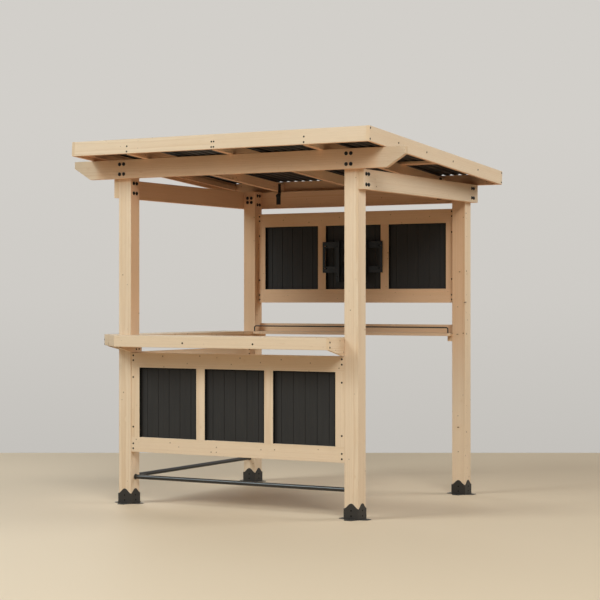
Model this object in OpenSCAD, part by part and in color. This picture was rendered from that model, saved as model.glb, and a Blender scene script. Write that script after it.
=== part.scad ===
// Bar gazebo: four posts on floor anchors, a single-pitch corrugated roof,
// panelled walls, an L-shaped bar counter, a back shelf and a screen bracket.
// Millimetres, +Z up. The bar front faces -Y and the open entrance side faces +X.
// The origin lies on the floor, at the middle of the roof's plan.

/* [Posts] */
// Width and depth of each square post
post = 90; // [80:1:100]
// Distance across the posts along the bar front, outside to outside
frame_w = 1650; // [1500:10:1900]
// Distance across the posts from front to back, outside to outside
frame_d = 1540; // [1400:10:1800]

/* [Anchors] */
// Thickness of the anchor's steel
anchor_t = 3; // [2:0.5:5]
// Height of the anchor's side plates at the corners
anchor_low = 62; // [50:1:80]
// Height of the anchor's side plates at their middle
anchor_peak = 92; // [85:1:120]
// How far each floor flange reaches out from the side plate
flange_reach = 44; // [35:1:60]
// Width of a floor flange where it leaves the side plate
flange_w = 76; // [60:1:84]
// Width of a floor flange at its outer end
flange_tip_w = 46; // [35:1:60]
// Diameter of the floor bolt hole in each flange
floor_bolt_d = 11; // [8:0.5:14]

/* [Beams] */
// Height of the side beams' underside above the floor
beam_clear = 1861; // [1800:1:2100]
// Height of the headers and the side beams
beam_h = 114; // [90:1:140]
// Thickness of the headers and the side beams
beam_t = 34; // [28:1:45]
// How far the front header runs out past each side of the posts
header_out = 310; // [250:5:400]
// Length of the bevel under each end of the front header
header_bevel = 118; // [60:1:160]
// Height of the upright end of the front header, above the bevel
header_end_h = 42; // [25:1:60]

/* [Roof] */
// Pitch of the roof, falling to the back, in degrees
roof_pitch = 4.1; // [2:0.1:5]
// How far the roof reaches out in front of the front posts
roof_front = 226; // [150:2:300]
// How far the roof reaches out behind the back posts
roof_back = 69; // [60:1:200]
// How far the roof reaches out past each side of the posts
roof_side = 186; // [160:2:240]
// Width of each rafter
rafter_w = 34; // [28:1:45]
// Depth of each rafter
rafter_h = 58; // [50:1:80]
// Distance between rafters, middle to middle
rafter_gap = 603; // [500:1:640]
// How deep each rafter is notched over the uphill edge of a header
rafter_notch = 1; // [0.5:0.5:4]
// Thickness of the fascia boards
fascia_t = 20; // [16:1:28]
// How far the front and side fascias stand above the sheet's ridges
fascia_over = 2; // [1:0.5:15]
// Thickness of the side battens inside the fascias
batten_t = 18; // [14:1:30]
// Height of the side battens inside the fascias
batten_h = 33; // [25:1:45]
// Thickness of the purlins that lie flat over the rafters
purlin_t = 16; // [12:1:18]
// Width of the purlins that lie flat over the rafters
purlin_w = 63; // [50:1:80]
// Distance between purlins, front edge to front edge
purlin_gap = 581; // [500:1:590]
// Number of ridges across the corrugated sheet
sheet_waves = 34; // [24:1:40]
// Height of the corrugations, over the sheet
sheet_h = 14; // [10:1:16]
// Thickness of the corrugated sheet
sheet_t = 1; // [0.8:0.1:1.5]

/* [Walls] */
// Height of the lower walls' underside above the floor
low_wall_z = 318; // [250:1:340]
// Height of the back wall's underside above the floor
back_wall_z = 1221; // [1150:1:1240]
// Height of the back wall
wall_h = 602; // [500:1:620]
// Thickness of every wall panel
wall_t = 50; // [40:1:60]
// Setback of the walls' outer face from the posts' outer face
wall_inset = 4; // [0.5:0.5:10]
// Height of the top and bottom rails of a wall panel
rail_h = 90; // [70:1:110]
// Width of the end stiles of a wall panel
end_stile_w = 60; // [50:1:80]
// Width of the middle stiles of a wall panel
mid_stile_w = 60; // [50:1:90]
// Thickness of the dark boards that fill a wall panel
board_t = 14; // [10:1:18]
// Depth of the groove that holds the boards in the rails and stiles
groove_depth = 12; // [8:1:16]

/* [Counter] */
// Height of the counter's top above the floor
counter_z = 1027; // [1000:1:1100]
// How far the counter stands out from the posts on both sides
counter_out = 176; // [155:1:200]
// Thickness of the counter's top boards
counter_t = 20; // [16:1:28]
// Height of the counter's apron boards
apron_h = 68; // [55:1:75]
// Thickness of the aprons and of the brackets
apron_t = 18; // [15:1:24]
// Length cut off each way at the counter's outer corner
corner_cut = 268; // [200:2:300]
// Height of the counter's brackets where they meet the posts
bracket_h = 104; // [85:1:140]
// Gap between the top of the lower walls and the counter's brackets
bracket_gap = 3; // [1:0.5:10]
// How far the level foot of a bracket reaches out from its post
bracket_toe = 15; // [2:1:40]

/* [Back shelf] */
// Height of the shelf's top above the floor
shelf_z = 1027; // [1000:1:1060]
// Thickness of the shelf and of its backboard
shelf_t = 18; // [15:1:24]
// How far the shelf stands out from the back posts' inner face
shelf_out = 44; // [40:1:70]
// Radius of the shelf's front corners
shelf_corner_r = 20; // [8:1:24]
// Height of the backboard above the shelf
backboard_h = 53; // [40:1:80]
// Width and height of the cleats under the shelf's ends
cleat = 34; // [25:1:40]
// Setback of a cleat's ends from the front and back of its post
cleat_inset = 5; // [0:0.5:15]
// Diameter of the guard rail along the shelf
guard_d = 8; // [6:0.5:10]
// Height of the guard rail's middle above the shelf
guard_h = 36; // [30:1:50]
// Distance from the shelf's front edge to the middle of the guard rail
guard_in = 13; // [12:1:24]
// Distance from each post to the middle of the guard rail's legs
guard_end = 15; // [12:1:60]
// Bend radius of the guard rail's corners, at the middle of the rod
guard_bend = 12; // [10:1:16]

/* [Foot rails] */
// Outside diameter of the foot rails
foot_d = 26; // [20:1:32]
// Wall thickness of the foot rails
foot_wall = 2; // [1.5:0.5:3]
// Height of the foot rails' middle above the floor
foot_z = 163; // [140:1:200]
// How far the end sockets stand proud of the tube
socket_rim = 3; // [1.5:0.5:6]
// Length of the end sockets
socket_len = 8; // [5:1:14]

/* [Screen bracket] */
// How far each end of the wall plate laps onto a middle stile
plate_lap = 18; // [10:0.5:40]
// Height of the wall plate
plate_h = 205; // [180:1:220]
// Height of each slotted rail of the wall plate
plate_rail_h = 42; // [35:1:55]
// Depth of the wall plate's folded rails
plate_depth = 10; // [6:1:16]
// Thickness of the bracket's steel
plate_t = 2; // [1.5:0.5:3]
// Width of the wall plate's upright end bars
plate_end_w = 20; // [14:1:30]
// Length of the slots for the wall screws
slot_len = 24; // [16:1:30]
// Width of the slots for the wall screws
slot_w = 7; // [5:0.5:9]
// Distance from each end of the wall plate to the middle of its slots
slot_in = 22; // [20:1:36]
// How far the slots lie off the middle of their rail, towards the plate's middle
slot_shift = 7; // [0:0.5:10]
// Distance between the screen arms, middle to middle
arm_gap = 200; // [150:10:300]
// Width of each screen arm
arm_w = 26; // [20:1:32]
// Depth of each screen arm
arm_depth = 20; // [14:1:30]
// Length of each screen arm
arm_len = 272; // [250:1:300]
// How far each arm reaches below the wall plate
arm_drop = 62; // [50:1:70]
// Upright distance between the screen bolt holes of an arm
screen_bolt_gap = 200; // [150:10:200]
// Diameter of the screen bolt holes
screen_bolt_d = 6.5; // [5:0.5:8.5]

/* [Rafter straps] */
// Width of the twisted steel straps
strap_w = 30; // [25:1:34]
// Thickness of the straps
strap_t = 2; // [1.5:0.5:3]
// Height of a strap above the top of the back header
strap_up = 52; // [30:1:54]
// How far a strap reaches down the back header
strap_down = 88; // [70:1:100]
// Height of the twist between the two legs of a strap
strap_twist_h = 30; // [20:1:40]

/* [Hidden] */
wood = "burlywood";
charcoal = "#37342f";
steel = "#2a2927";
$fn = 48;

// How far a cut runs out past the face that it opens
cut_over = 1;

// Roof: local frames have +Y down the slope and +Z square to it.
slope_sin = sin(roof_pitch);
slope_cos = cos(roof_pitch);
slope_tan = tan(roof_pitch);
// The side fascias pass just over the front header, which the rafters are let over.
header_play = 0.3;
fascia_lift = (rafter_notch + beam_t * slope_tan + header_play) * slope_cos;
purlin_count = 3;
sheet_z = rafter_h + purlin_t;
fascia_top = sheet_z + sheet_h + fascia_over;
roof_len = (roof_front + frame_d + roof_back) / slope_cos;
roof_y0 = -(roof_len * slope_cos + (fascia_lift + fascia_top) * slope_sin) / 2;
front_y = roof_y0 + roof_front;
back_y = front_y + frame_d;
half_w = frame_w / 2;
inner_x = half_w - post;
inner_front_y = front_y + post;
inner_back_y = back_y - post;
across = 2 * inner_x;
along = inner_back_y - inner_front_y;

beam_top = beam_clear + beam_h;
header_top = beam_top + beam_h;
roof_z0 = header_top - rafter_notch + (roof_front - beam_t) * slope_tan;
back_seat_z = roof_z0 - (back_y - roof_y0) * slope_tan + rafter_notch;

half_roof = half_w + roof_side;
inner_roof = half_roof - fascia_t;
sheet_gap = 1;
sheet_w = 2 * (inner_roof - sheet_gap);
sheet_pitch = sheet_w / sheet_waves;
wave_steps = 8;

// Walls: the boards stand on the bottom groove and have play at the top and sides.
board_play = 1;
panes = 3;
groove_y = (wall_t - board_t) / 2;
// The lower walls stand up to the counter's brackets.
low_wall_h = counter_z - bracket_h - bracket_gap - low_wall_z;

// Counter: outer lines of the aprons.
apron_x = half_w + counter_out;
apron_y = front_y - counter_out;
cut_run = corner_cut + apron_t * (sqrt(2) - 1);
cut_inner = corner_cut + apron_t * sqrt(2);
bracket_play = 2;
bracket_z = counter_z - bracket_h;
apron_z = counter_z - apron_h;
top_z = counter_z - counter_t;
top_right_x = inner_x - apron_t;
top_back_y = inner_back_y - apron_t;

shelf_front_y = inner_back_y - shelf_out;
guard_y = shelf_front_y + guard_in;
guard_z = shelf_z + guard_h;
guard_half = inner_x - guard_end;

plate_back_y = back_y - wall_inset - wall_t;
plate_z = back_wall_z + wall_h / 2;
plate_half = opening_w(across) / 2 + plate_lap;

// A block between two opposite corners.
module block(low, high) {
    translate(low)
        cube(high - low);
}

// Puts its children on the roof's slope: local zero is the lower front edge of the rafters.
module on_slope() {
    translate([0, roof_y0, roof_z0])
        rotate([-roof_pitch, 0, 0])
            children();
}

// ---- posts and anchors ----

module post_at(left, front, top) {
    x = left ? -half_w : inner_x;
    y = front ? front_y : inner_back_y;
    color(wood)
        block([x, y, anchor_t], [x + post, y + post, top]);
}

// Side plate outline: low at the corners, rising in two smooth curves to the middle.
module ogee_plate(w) {
    steps = 12;
    rise = anchor_peak - anchor_low;
    polygon(concat(
        [[-w / 2, 0], [w / 2, 0]],
        [for (i = [0 : 2 * steps])
            [w / 2 * (1 - i / steps), anchor_low + rise * (1 - cos(180 * i / steps)) / 2]]));
}

// One floor flange, pointing towards -Y from the side plate.
module flange(sleeve) {
    difference() {
        linear_extrude(anchor_t)
            polygon([[-flange_w / 2, -sleeve / 2], [-flange_tip_w / 2, -sleeve / 2 - flange_reach],
                     [flange_tip_w / 2, -sleeve / 2 - flange_reach], [flange_w / 2, -sleeve / 2]]);
        translate([0, -(sleeve + flange_reach) / 2, -cut_over])
            cylinder(h = anchor_t + 2 * cut_over, d = floor_bolt_d);
    }
}

module anchor_at(left, front) {
    sleeve = post + 2 * anchor_t;
    x = left ? -half_w + post / 2 : half_w - post / 2;
    y = front ? front_y + post / 2 : back_y - post / 2;
    color(steel)
        translate([x, y, 0]) {
            translate([-sleeve / 2, -sleeve / 2, 0])
                cube([sleeve, sleeve, anchor_t]);
            for (turn = [0 : 90 : 270])
                rotate([0, 0, turn]) {
                    flange(sleeve);
                    translate([0, -post / 2, 0])
                        rotate([90, 0, 0])
                            linear_extrude(anchor_t)
                                ogee_plate(sleeve);
                }
        }
}

// ---- headers and side beams ----

module front_header() {
    half = half_w + header_out;
    low = half - header_bevel;
    color(wood)
        translate([0, front_y, beam_top])
            rotate([90, 0, 0])
                linear_extrude(beam_t)
                    polygon([[-low, 0], [low, 0], [half, beam_h - header_end_h], [half, beam_h],
                             [-half, beam_h], [-half, beam_h - header_end_h]]);
}

module back_header() {
    color(wood)
        block([-half_w, back_y, back_seat_z - beam_h], [half_w, back_y + beam_t, back_seat_z]);
}

module side_beam(side) {
    x = side < 0 ? -half_w - beam_t : half_w;
    color(wood)
        block([x, front_y, beam_clear], [x + beam_t, back_y + beam_t, beam_top]);
}

// ---- roof ----

module rafter(x) {
    color(wood)
        difference() {
            on_slope()
                block([x - rafter_w / 2, fascia_t, 0], [x + rafter_w / 2, roof_len - fascia_t, rafter_h]);
            block([x - rafter_w, front_y - beam_t, header_top - beam_h],
                  [x + rafter_w, front_y, header_top]);
            block([x - rafter_w, back_y, back_seat_z - beam_h],
                  [x + rafter_w, back_y + beam_t, back_seat_z]);
        }
}

module end_fascia(y, top) {
    color(wood)
        on_slope()
            block([-inner_roof, y, fascia_lift], [inner_roof, y + fascia_t, top]);
}

module side_fascia(side) {
    x = side < 0 ? -half_roof : inner_roof;
    color(wood)
        on_slope()
            block([x, 0, fascia_lift], [x + fascia_t, roof_len, fascia_top]);
}

module roof_side_battens() {
    color(wood)
        on_slope()
            for (x = [-inner_roof, inner_roof - batten_t])
                block([x, fascia_t, rafter_h - batten_h], [x + batten_t, roof_len - fascia_t, rafter_h]);
}

module roof_purlins() {
    color(wood)
        on_slope()
            for (i = [0 : purlin_count - 1])
                translate([0, fascia_t + i * purlin_gap, 0])
                    block([-inner_roof, 0, rafter_h], [inner_roof, purlin_w, sheet_z]);
}

// Height of the sheet's underside at a step across it; the wave has flat tops and valleys.
function wave_z(i) = (sheet_h - sheet_t) / 2
                     * (1 - cos(360 * (i + 0.5) / wave_steps) / cos(180 / wave_steps));

module roof_sheet() {
    steps = sheet_waves * wave_steps;
    function at(i) = -sheet_w / 2 + i * sheet_pitch / wave_steps;
    color(steel)
        on_slope()
            translate([0, roof_len - sheet_gap, sheet_z])
                rotate([90, 0, 0])
                    linear_extrude(roof_len - fascia_t - 2 * sheet_gap)
                        polygon(concat([for (i = [0 : steps]) [at(i), wave_z(i)]],
                                       [for (i = [steps : -1 : 0]) [at(i), wave_z(i) + sheet_t]]));
}

// A strap stands flat on a rafter's side, turns a quarter and lies flat on the back header.
module rafter_strap(x) {
    side_x = x + rafter_w / 2;
    leg_x = side_x - strap_w;
    side_z = back_seat_z - rafter_notch;
    turn_z = side_z - strap_twist_h;
    color(steel) {
        block([side_x, back_y - strap_w, side_z],
              [side_x + strap_t, back_y, back_seat_z + strap_up]);
        hull() {
            block([side_x, back_y - strap_w, side_z - strap_t],
                  [side_x + strap_t, back_y, side_z]);
            block([leg_x, back_y - strap_t, turn_z - strap_t], [leg_x + strap_w, back_y, turn_z]);
        }
        block([leg_x, back_y - strap_t, back_seat_z - strap_down], [leg_x + strap_w, back_y, turn_z]);
    }
}

module rafter_straps() {
    for (i = [-1 : 1])
        rafter_strap(i * rafter_gap);
}

// ---- wall panels: each is drawn along +X from its left end, outer face on Y = 0 ----

function opening_w(span) = (span - 2 * end_stile_w - (panes - 1) * mid_stile_w) / panes;
function pane_x(span, i) = end_stile_w + i * (opening_w(span) + mid_stile_w);

module wall_rails(span, high) {
    color(wood)
        difference() {
            for (z = [0, high - rail_h])
                block([0, 0, z], [span, wall_t, z + rail_h]);
            for (i = [0 : panes - 1])
                block([pane_x(span, i) - groove_depth, groove_y, rail_h - groove_depth],
                      [pane_x(span, i) + opening_w(span) + groove_depth, groove_y + board_t,
                       high - rail_h + groove_depth]);
        }
}

module wall_stiles(span, high) {
    color(wood)
        difference() {
            for (i = [0 : panes]) {
                start = i == 0 ? 0 : pane_x(span, i) - mid_stile_w;
                wide = i == 0 || i == panes ? end_stile_w : mid_stile_w;
                block([start, 0, rail_h], [start + wide, wall_t, high - rail_h]);
            }
            for (i = [0 : panes - 1])
                block([pane_x(span, i) - groove_depth, groove_y, 0],
                      [pane_x(span, i) + opening_w(span) + groove_depth, groove_y + board_t, high]);
        }
}

module wall_boards(span, high) {
    tongue = groove_depth - board_play;
    color(charcoal)
        for (i = [0 : panes - 1])
            block([pane_x(span, i) - tongue, groove_y, rail_h - groove_depth],
                  [pane_x(span, i) + opening_w(span) + tongue, groove_y + board_t,
                   high - rail_h + tongue]);
}

module on_front_wall() {
    translate([-inner_x, front_y + wall_inset, low_wall_z])
        children();
}

module on_left_wall() {
    translate([-half_w + wall_inset, inner_back_y, low_wall_z])
        rotate([0, 0, -90])
            children();
}

module on_back_wall() {
    translate([inner_x, back_y - wall_inset, back_wall_z])
        rotate([0, 0, 180])
            children();
}

// ---- counter ----

// Front board and the end of the corner board; X runs along the board.
module counter_apron_front() {
    color(wood)
        translate([0, 0, apron_z])
            linear_extrude(apron_h)
                polygon([[corner_cut - apron_x, apron_y], [top_right_x, apron_y],
                         [top_right_x, apron_y + apron_t], [cut_run - apron_x, apron_y + apron_t]]);
}

module counter_apron_left() {
    color(wood)
        translate([0, 0, apron_z])
            linear_extrude(apron_h)
                polygon([[-apron_x, apron_y + corner_cut], [apron_t - apron_x, apron_y + cut_run],
                         [apron_t - apron_x, top_back_y], [-apron_x, top_back_y]]);
}

module corner_board() {
    translate([0, 0, apron_z])
        linear_extrude(apron_h)
            polygon([[corner_cut - apron_x, apron_y], [cut_run - apron_x, apron_y + apron_t],
                     [apron_t - apron_x, apron_y + cut_run], [-apron_x, apron_y + corner_cut]]);
}

module counter_apron_corner() {
    color(wood)
        corner_board();
}

// Front wing of the top: it passes before the left post and ends between the front posts.
module counter_top_front() {
    color(wood)
        translate([0, 0, top_z])
            linear_extrude(counter_t)
                polygon([[cut_run - apron_x, apron_y + apron_t], [top_right_x, apron_y + apron_t],
                         [top_right_x, inner_front_y], [-inner_x, inner_front_y], [-inner_x, front_y],
                         [cut_inner - counter_out - apron_x, front_y]]);
}

// Left wing of the top: it passes beside the front post and ends at the back post.
module counter_top_left() {
    color(wood)
        translate([0, 0, top_z])
            linear_extrude(counter_t)
                polygon([[cut_inner - counter_out - apron_x, front_y], [-half_w, front_y],
                         [-half_w, inner_front_y], [-inner_x, inner_front_y], [-inner_x, top_back_y],
                         [apron_t - apron_x, top_back_y], [apron_t - apron_x, apron_y + cut_run]]);
}

// Bracket outline from its outer end: the lower edge rises from the post to the apron.
module bracket_shape(start, high) {
    reach = counter_out + post - bracket_play;
    translate([0, bracket_z])
        polygon([[start, bracket_h - apron_h], [counter_out - bracket_toe, 0], [reach, 0],
                 [reach, high], [start, high]]);
}

// A bracket of the front wing, with its face on X = 0 and its outer end on the apron line.
module front_bracket(start, high) {
    translate([0, apron_y, 0])
        rotate([90, 0, -90])
            mirror([1, 0, 0])
                linear_extrude(apron_t)
                    bracket_shape(start, high);
}

// A bracket of the left wing, with its face on Y = 0 and its outer end on the apron line.
module left_bracket(start, high) {
    translate([-apron_x, 0, 0])
        rotate([90, 0, 0])
            linear_extrude(apron_t)
                bracket_shape(start, high);
}

// The end brackets cover the aprons' ends. Those at the corner post lie under the top,
// and their outer ends are cut to the slant of the corner board.
module counter_brackets() {
    under = bracket_h - counter_t;
    color(wood) {
        translate([inner_x, 0, 0])
            front_bracket(0, bracket_h);
        translate([0, inner_back_y, 0])
            left_bracket(0, bracket_h);
        difference() {
            union() {
                translate([apron_t - inner_x, 0, 0])
                    front_bracket(apron_t, under);
                translate([0, inner_front_y + apron_t, 0])
                    left_bracket(apron_t, under);
            }
            corner_board();
        }
    }
}

// ---- back shelf ----

module back_shelf() {
    color(wood)
        translate([0, 0, shelf_z - shelf_t])
            linear_extrude(shelf_t)
                union() {
                    translate([-inner_x, shelf_front_y + shelf_corner_r])
                        square([2 * inner_x, back_y - shelf_front_y - shelf_corner_r]);
                    translate([shelf_corner_r - inner_x, shelf_front_y])
                        square([2 * (inner_x - shelf_corner_r), shelf_corner_r]);
                    for (side = [-1, 1])
                        translate([side * (inner_x - shelf_corner_r), shelf_front_y + shelf_corner_r])
                            circle(r = shelf_corner_r);
                }
}

module shelf_backboard() {
    color(wood)
        block([-inner_x, back_y - shelf_t, shelf_z], [inner_x, back_y, shelf_z + backboard_h]);
}

module shelf_cleats() {
    color(wood)
        for (x = [-inner_x, inner_x - cleat])
            block([x, inner_back_y + cleat_inset, shelf_z - shelf_t - cleat],
                  [x + cleat, back_y - cleat_inset, shelf_z - shelf_t]);
}

module shelf_guard_rail() {
    straight = guard_half - guard_bend;
    color(steel)
        translate([0, guard_y, 0]) {
            translate([-straight, 0, guard_z])
                rotate([0, 90, 0])
                    cylinder(h = 2 * straight, d = guard_d);
            for (side = [0, 1])
                mirror([side, 0, 0]) {
                    translate([straight, 0, guard_z - guard_bend])
                        rotate([90, 0, 0])
                            rotate_extrude(angle = 90)
                                translate([guard_bend, 0])
                                    circle(d = guard_d);
                    translate([guard_half, 0, shelf_z])
                        cylinder(h = guard_h - guard_bend, d = guard_d);
                }
        }
}

// ---- foot rails ----

// A tube along +X between two posts, with a socket at each end.
module foot_rail(span) {
    socket_d = foot_d + 2 * socket_rim;
    rotate([0, 90, 0])
        difference() {
            union() {
                cylinder(h = span, d = foot_d);
                cylinder(h = socket_len, d = socket_d);
                translate([0, 0, span - socket_len])
                    cylinder(h = socket_len, d = socket_d);
            }
            translate([0, 0, -cut_over])
                cylinder(h = span + 2 * cut_over, d = foot_d - 2 * foot_wall);
        }
}

module foot_rails() {
    color(steel) {
        translate([-inner_x, front_y + post / 2, foot_z])
            foot_rail(across);
        translate([post / 2 - half_w, inner_front_y, foot_z])
            rotate([0, 0, 90])
                foot_rail(along);
    }
}

// ---- screen bracket ----

// A slotted rail folded from sheet: its web stands off and its lips reach back to the wall.
module plate_rail(z, slot_z) {
    difference() {
        block([-plate_half, -plate_depth, z], [plate_half, 0, z + plate_rail_h]);
        block([-plate_half - cut_over, plate_t - plate_depth, z + plate_t],
              [plate_half + cut_over, cut_over, z + plate_rail_h - plate_t]);
        for (x = [slot_in - plate_half, plate_half - slot_in])
            translate([x, 0, slot_z])
                rotate([90, 0, 0])
                    linear_extrude(plate_depth + cut_over)
                        slot();
    }
}

module slot() {
    straight = slot_len - slot_w;
    square([straight, slot_w], center = true);
    for (side = [-1, 1])
        translate([side * straight / 2, 0])
            circle(d = slot_w);
}

module screen_wall_plate() {
    half_h = plate_h / 2;
    rail_mid = half_h - plate_rail_h / 2 - slot_shift;
    color(steel)
        translate([0, plate_back_y, plate_z]) {
            plate_rail(-half_h, -rail_mid);
            plate_rail(half_h - plate_rail_h, rail_mid);
            for (x = [-plate_half, plate_half - plate_end_w])
                block([x, -plate_depth, plate_rail_h - half_h],
                      [x + plate_end_w, plate_t - plate_depth, half_h - plate_rail_h]);
        }
}

// An arm is a channel that hangs on the wall plate's lips.
module screen_arm(x) {
    low = -plate_h / 2 - arm_drop;
    hole_z = low + (arm_len - screen_bolt_gap) / 2;
    difference() {
        block([x - arm_w / 2, -plate_depth - arm_depth, low],
              [x + arm_w / 2, -plate_depth, low + arm_len]);
        block([x - arm_w / 2 + plate_t, -plate_depth - arm_depth + plate_t, low - cut_over],
              [x + arm_w / 2 - plate_t, cut_over - plate_depth, low + arm_len + cut_over]);
        for (z = [hole_z, hole_z + screen_bolt_gap])
            translate([x, -plate_depth - arm_depth - cut_over, z])
                rotate([-90, 0, 0])
                    cylinder(h = plate_t + 2 * cut_over, d = screen_bolt_d);
    }
}

module screen_arms() {
    color(steel)
        translate([0, plate_back_y, plate_z])
            for (side = [-1, 1])
                screen_arm(side * arm_gap / 2);
}

post_at(true, true, header_top);  // post_front_left
post_at(false, true, header_top);  // post_front_right
post_at(true, false, beam_top);  // post_back_left
post_at(false, false, beam_top);  // post_back_right
anchor_at(true, true);  // anchor_front_left
anchor_at(false, true);  // anchor_front_right
anchor_at(true, false);  // anchor_back_left
anchor_at(false, false);  // anchor_back_right
front_header();
back_header();
side_beam(-1);  // side_beam_left
side_beam(1);  // side_beam_right
rafter(-rafter_gap);  // rafter_left
rafter(0);  // rafter_middle
rafter(rafter_gap);  // rafter_right
end_fascia(0, fascia_top);  // fascia_front
end_fascia(roof_len - fascia_t, sheet_z);  // fascia_back
side_fascia(-1);  // fascia_left
side_fascia(1);  // fascia_right
roof_side_battens();
roof_purlins();
roof_sheet();
rafter_straps();
on_front_wall() wall_rails(across, low_wall_h);  // front_wall_rails
on_front_wall() wall_stiles(across, low_wall_h);  // front_wall_stiles
on_front_wall() wall_boards(across, low_wall_h);  // front_wall_boards
on_left_wall() wall_rails(along, low_wall_h);  // left_wall_rails
on_left_wall() wall_stiles(along, low_wall_h);  // left_wall_stiles
on_left_wall() wall_boards(along, low_wall_h);  // left_wall_boards
on_back_wall() wall_rails(across, wall_h);  // back_wall_rails
on_back_wall() wall_stiles(across, wall_h);  // back_wall_stiles
on_back_wall() wall_boards(across, wall_h);  // back_wall_boards
counter_top_front();
counter_top_left();
counter_apron_front();
counter_apron_corner();
counter_apron_left();
counter_brackets();
back_shelf();
shelf_backboard();
shelf_cleats();
shelf_guard_rail();
screen_wall_plate();
screen_arms();
foot_rails();
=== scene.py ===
from functools import partialmethod
from math import cos, pi, radians, sin

import bpy
import numpy as np
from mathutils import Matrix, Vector


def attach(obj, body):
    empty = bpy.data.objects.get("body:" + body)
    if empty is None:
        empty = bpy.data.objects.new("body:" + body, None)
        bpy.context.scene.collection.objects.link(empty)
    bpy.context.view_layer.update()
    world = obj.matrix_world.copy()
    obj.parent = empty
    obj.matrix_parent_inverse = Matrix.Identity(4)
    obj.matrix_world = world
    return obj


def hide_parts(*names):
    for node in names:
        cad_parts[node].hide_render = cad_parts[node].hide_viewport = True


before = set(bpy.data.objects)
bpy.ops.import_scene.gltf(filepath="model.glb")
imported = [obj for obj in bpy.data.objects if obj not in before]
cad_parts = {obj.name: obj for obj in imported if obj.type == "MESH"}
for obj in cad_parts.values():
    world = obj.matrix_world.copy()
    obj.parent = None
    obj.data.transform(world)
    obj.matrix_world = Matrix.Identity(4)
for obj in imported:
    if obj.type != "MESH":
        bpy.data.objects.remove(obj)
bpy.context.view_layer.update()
chance = np.random.default_rng(41)
print("frame loaded:", len(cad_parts), "nodes")

# surfaces in numpy: reach is the most that a rounded corner takes of its edge, depth the most that an eased
# edge takes of its slab's height, and round that edge's radius over its arris

easing = {"reach": 0.42, "depth": 0.45, "round": 0.8}


def otherAxes(axis):
    # the two axes beside the given one, in their order
    return [k for k in range(3) if k != axis]


def turnAbout(axis, angle):
    # rotation matrix by the angle about one axis of the frame
    a, b = (axis + 1) % 3, (axis + 2) % 3
    matrix = np.eye(3)
    matrix[a, a] = matrix[b, b] = cos(angle)
    matrix[b, a] = sin(angle)
    matrix[a, b] = -sin(angle)
    return matrix


def ringShell(rings, loop=False):
    # closed rings joined by quads: a loop joins the last ring to the first, else one face closes each end;
    # where the volume, a sum of triple products, is negative the faces look inwards and are turned round
    rings = np.asarray(rings, float)
    count, size = rings.shape[:2]
    here = np.arange(count * size).reshape(count, size)
    right, up = np.roll(here, -1, axis=1), np.roll(here, -1, axis=0)
    quads = np.stack([here, right, np.roll(right, -1, axis=0), up], -1)
    quads = quads[:count if loop else count - 1].reshape(-1, 4)
    points, faces = rings.reshape(-1, 3), quads.tolist()
    middle = points.mean(0)
    a, b, c, d = ((points - middle)[quads[:, k]] for k in range(4))
    volume = np.einsum("ij,ij->", a, np.cross(b, c)) + np.einsum("ij,ij->", a, np.cross(c, d))
    if not loop:
        for ring, way in ((rings[0] - middle, -1), (rings[-1] - middle, 1)):
            fan = np.cross(ring[1:-1] - ring[0], ring[2:] - ring[0])
            volume += way * np.einsum("j,ij->", ring[0], fan)
        faces += [here[0, ::-1].tolist(), here[-1].tolist()]
    return points, faces if volume > 0 else [face[::-1] for face in faces]


def lift(outline, heights, axis):
    # rings of a flat outline at heights along one axis; the outline lies in the other two, in their order
    a, b = otherAxes(axis)
    rings = np.empty((len(heights), outline.shape[-2], 3))
    rings[..., a], rings[..., b] = outline[..., 0], outline[..., 1]
    rings[..., axis] = np.asarray(heights)[:, None]
    return rings


def prism(outline, heights, axis):
    # the same outline at each height, with its corners left sharp
    return ringShell(lift(np.tile(outline, (len(heights), 1, 1)), heights, axis))


def mitre(outline):
    # at each point, the sum of its two edges' outward normals over one plus their dot product
    edge = np.roll(outline, -1, axis=0) - outline
    edge /= np.linalg.norm(edge, axis=1)[:, None]
    after = np.stack([edge[:, 1], -edge[:, 0]], 1)
    before = np.roll(after, 1, axis=0)
    return (after + before) / (1 + np.einsum("ij,ij->i", after, before))[:, None]


def roundCorners(outline, radius, steps=3):
    # each corner becomes an arc that leaves both edges at radius * tan(half its turn); an outline whose
    # area, by cross products, is negative is reversed first, to run anticlockwise
    outline = np.asarray(outline, float)
    x, y = outline.T
    if np.sum(x * np.roll(y, -1) - y * np.roll(x, -1)) < 0:
        outline = outline[::-1]
    ahead = np.roll(outline, -1, axis=0) - outline
    back = np.roll(outline, 1, axis=0) - outline
    long, longBack = np.linalg.norm(ahead, axis=1), np.linalg.norm(back, axis=1)
    ahead, back = ahead / long[:, None], back / longBack[:, None]
    turn = pi - np.arccos(np.clip(np.einsum("ij,ij->i", ahead, back), -1, 1))
    reach = np.minimum(radius * np.tan(turn / 2), easing["reach"] * np.minimum(long, longBack))
    start, end = outline + back * reach[:, None], outline + ahead * reach[:, None]
    # a rational curve of degree two is an exact arc when its middle weight is cos(half the turn)
    t = np.linspace(0, 1, steps + 1)[None, :, None]
    first, last = (1 - t) ** 2, t ** 2
    middle = 2 * np.cos(turn / 2)[:, None, None] * t * (1 - t)
    arc = first * start[:, None] + middle * outline[:, None] + last * end[:, None]
    return (arc / (first + middle + last)).reshape(-1, 2)


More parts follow.
